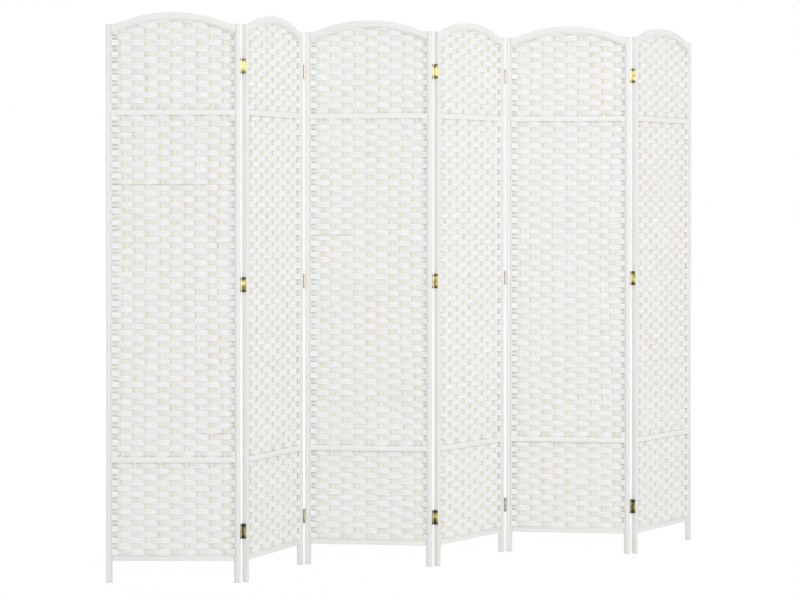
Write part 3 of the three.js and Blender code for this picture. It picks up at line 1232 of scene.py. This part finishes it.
def model_pin():
    """The pin that is pressed into the odd knuckles."""
    hinge = hinge_sizes()
    depth = hinge.length - hinge.knuckle_gap
    bpy.ops.mesh.primitive_cylinder_add(vertices=20, radius=hinge.pin_radius, depth=depth)
    pin = take_added("pin")
    round_edges(pin, BRASS_ROUNDING)
    return pin


def model_screw_head(y, z):
    """A countersunk cross-slotted head, almost flush in the open face of a leaf at -X."""
    hinge = hinge_sizes()
    near = -hinge.leaf_play / 2
    depth = hinge.leaf_thickness * 0.9
    bpy.ops.mesh.primitive_cylinder_add(
        vertices=20, radius=hinge.screw_radius, depth=depth,
        location=(near - depth / 2 + SCREW_PROUD, y, z), rotation=(0, math.pi / 2, 0),
    )
    head = take_added("head")
    round_edges(head, BRASS_ROUNDING)
    for wide, high in (SLOT, reversed(SLOT)):
        low = (near - SLOT_DEPTH, y - wide, z - high)
        slot = add_block("slot", low, (near + hinge.leaf_thickness, y + wide, z + high))
        apply_modifier(head, "BOOLEAN", operation="DIFFERENCE", object=slot, solver="EXACT")
        discard(slot)
    return head


def map_brass(piece):
    """A UV map in metres: how far from the pin axis, and how far above the middle of the hinge."""
    mesh = piece.data
    while mesh.uv_layers:
        mesh.uv_layers.remove(mesh.uv_layers[0])
    layer = mesh.uv_layers.new(name="leaf")
    for loop in mesh.loops:
        x, y, z = mesh.vertices[loop.vertex_index].co
        layer.data[loop.index].uv = (math.hypot(x, y), z)


class PARTITION_OT_hinges(bpy.types.Operator):
    """Brass butt hinges: a bored leaf, a leaf with its pin, and the screws of both"""

    bl_idname = "partition.hinges"
    bl_label = "Hinges"

    def execute(self, context):
        hinge = hinge_sizes()
        bored = model_leaf("bored", 1, hinge.pin_radius + hinge.pin_clearance)
        pinned = join_pieces("pinned", [model_leaf("pinned", 0, hinge.pin_radius), model_pin()])
        middle = -pin_offset() - panel_sizes().stile_thickness / 2
        outer = middle + OUTER_SCREWS
        reach = hinge.length / 2 - SCREW_FROM_END
        heads = [(outer, -reach), (middle + MIDDLE_SCREW, 0), (outer, reach)]
        screws = join_pieces("screws", [model_screw_head(y, z) for y, z in heads])
        mirrored = Matrix.Scale(-1, 4, (1, 0, 0))
        pinned.data.transform(mirrored)
        face_outwards(pinned)
        other_screws = copy_into(screws, "other_screws", mirrored)
        face_outwards(other_screws)
        for piece in (bored, pinned, screws, other_screws):
            map_brass(piece)
        models = {"bored": (bored, screws), "pinned": (pinned, other_screws)}
        for place, number, kind, panel, matrix in leaf_places():
            leaf = copy_into(models[kind][0], f"hinge_{kind}_{place}_{number}", matrix)
            dress(leaf, "tarnished_brass_painted_highlights", "brass", f"panel_{panel}", f"{place}_{kind}_leaf_{number}")
            heads = copy_into(models[kind][1], f"screws_{kind}_{place}_{number}", matrix)
            dress(heads, "tarnished_brass_painted_highlights", "brass", f"panel_{panel}")
        discard(bored, pinned, screws, other_screws)
        return {"FINISHED"}


# The studio


def seen_directly(tree):
    """1 where the camera, a mirror or clear glass sees a surface, 0 where it only lights others."""
    path = add_node(tree, "ShaderNodeLightPath").outputs
    seen = calculate(tree, "MAXIMUM", path["Is Camera Ray"], path["Is Glossy Ray"])
    return calculate(tree, "MAXIMUM", seen, path["Is Transmission Ray"])


def add_surround(strength):
    """An even light from all sides that the camera sees as white."""
    world = bpy.data.worlds.new("surround")
    bpy.context.scene.world = world
    world.use_nodes = True
    tree = world.node_tree
    seen = map_range(tree, seen_directly(tree), strength, 1.0)
    feed(tree.nodes["Background"], {"Color": WHITE, "Strength": seen})


def add_floor(size):
    """A pale floor that keeps the screen's soft shadow and fades to white away from it."""
    bpy.ops.mesh.primitive_plane_add(size=size, location=(0, 0, -FLOOR_DROP))
    floor = bpy.context.active_object
    floor.name = "floor"
    floor.data.materials.append(finish("floor"))
    tree = bpy.data.materials["floor"].node_tree
    white = add_node(tree, "ShaderNodeEmission", {"Color": WHITE, "Strength": FLOOR_WHITE})
    away = add_node(tree, "ShaderNodeVectorMath", {0: object_place(tree)}, operation="LENGTH")
    fade = map_range(tree, away.outputs["Value"], 0.75, 1.0, *FLOOR_FADE)
    mix = add_node(tree, "ShaderNodeMixShader", {
        "Fac": calculate(tree, "MULTIPLY", seen_directly(tree), fade),
        1: tree.nodes["Principled BSDF"].outputs["BSDF"],
        2: white.outputs["Emission"],
    })
    feed(tree.nodes["Material Output"], {"Surface": mix.outputs["Shader"]})


def add_soft_lamp(name, place, power):
    """A large square lamp aimed at the middle of the screen."""
    lamp = bpy.data.lights.new(name, "AREA")
    lamp.size = LAMP_SIZE
    lamp.energy = power
    holder = bpy.data.objects.new(name, lamp)
    holder.location = place
    holder.rotation_euler = (Vector(LAMP_AIM) - Vector(place)).to_track_quat("-Z", "Y").to_euler()
    holder.visible_camera = False
    bpy.context.scene.collection.objects.link(holder)


def add_camera(stage):
    """The camera at the photograph's place."""
    camera = bpy.data.cameras.new("photo_camera")
    camera.sensor_width = 36.0
    camera.lens = PHOTO_FOCAL_LENGTH / PHOTO_WIDTH * camera.sensor_width
    camera.shift_y = -PHOTO_SHIFT / PHOTO_WIDTH
    camera.clip_end = 200.0
    holder = bpy.data.objects.new("photo_camera", camera)
    holder.location = stage.camera_place
    holder.rotation_euler = (math.pi / 2 - stage.camera_dip, 0, -stage.camera_turn)
    bpy.context.scene.collection.objects.link(holder)
    bpy.context.scene.camera = holder


class PARTITION_OT_stage(bpy.types.Operator):
    """Floor, light and camera of the photograph"""

    bl_idname = "partition.stage"
    bl_label = "Stage"

    def execute(self, context):
        stage = context.scene.partition_stage
        context.scene.view_settings.view_transform = "Standard"
        add_surround(stage.surround)
        add_floor(stage.floor_size)
        for name, (place, share) in LAMPS.items():
            add_soft_lamp(name, place, stage.lamp_power * share)
        add_camera(stage)
        return {"FINISHED"}


# The add-on


class PARTITION_PT_panel(bpy.types.Panel):
    """Sizes, colours and pieces of the folding screen"""

    bl_idname = "PARTITION_PT_panel"
    bl_label = "Folding Screen"
    bl_space_type = "VIEW_3D"
    bl_region_type = "UI"
    bl_category = "Screen"

    def draw(self, context):
        for name in SETTINGS:
            group = getattr(context.scene, name)
            box = self.layout.box()
            for prop in group.bl_rna.properties:
                if prop.identifier not in ("rna_type", "name"):
                    box.prop(group, prop.identifier)
        for operator in OPERATORS:
            self.layout.operator(operator.bl_idname)


SETTINGS = {
    "partition_panel": PartitionPanelSizes,
    "partition_weave": PartitionWeaveSizes,
    "partition_hinge": PartitionHingeSizes,
    "partition_colours": PartitionColours,
    "partition_stage": PartitionStageSizes,
}
OPERATORS = (
    PARTITION_OT_stage,
    PARTITION_OT_stiles,
    PARTITION_OT_top_rails,
    PARTITION_OT_bottom_rails,
    PARTITION_OT_crossbars,
    PARTITION_OT_stakes,
    PARTITION_OT_cords,
    PARTITION_OT_hinges,
)


def register():
    for group in SETTINGS.values():
        bpy.utils.register_class(group)
    for operator in OPERATORS:
        bpy.utils.register_class(operator)
    bpy.utils.register_class(PARTITION_PT_panel)
    for name, group in SETTINGS.items():
        setattr(bpy.types.Scene, name, PointerProperty(type=group))


def unregister():
    for name in SETTINGS:
        delattr(bpy.types.Scene, name)
    bpy.utils.unregister_class(PARTITION_PT_panel)
    for operator in reversed(OPERATORS):
        bpy.utils.unregister_class(operator)
    for group in reversed(SETTINGS.values()):
        bpy.utils.unregister_class(group)


def main():
    register()
    bpy.ops.partition.stage()
    bpy.ops.partition.stiles()
    bpy.ops.partition.top_rails()
    bpy.ops.partition.bottom_rails()
    bpy.ops.partition.crossbars()
    bpy.ops.partition.stakes()
    bpy.ops.partition.cords()
    bpy.ops.partition.hinges()


if __name__ == "__main__":
    main()
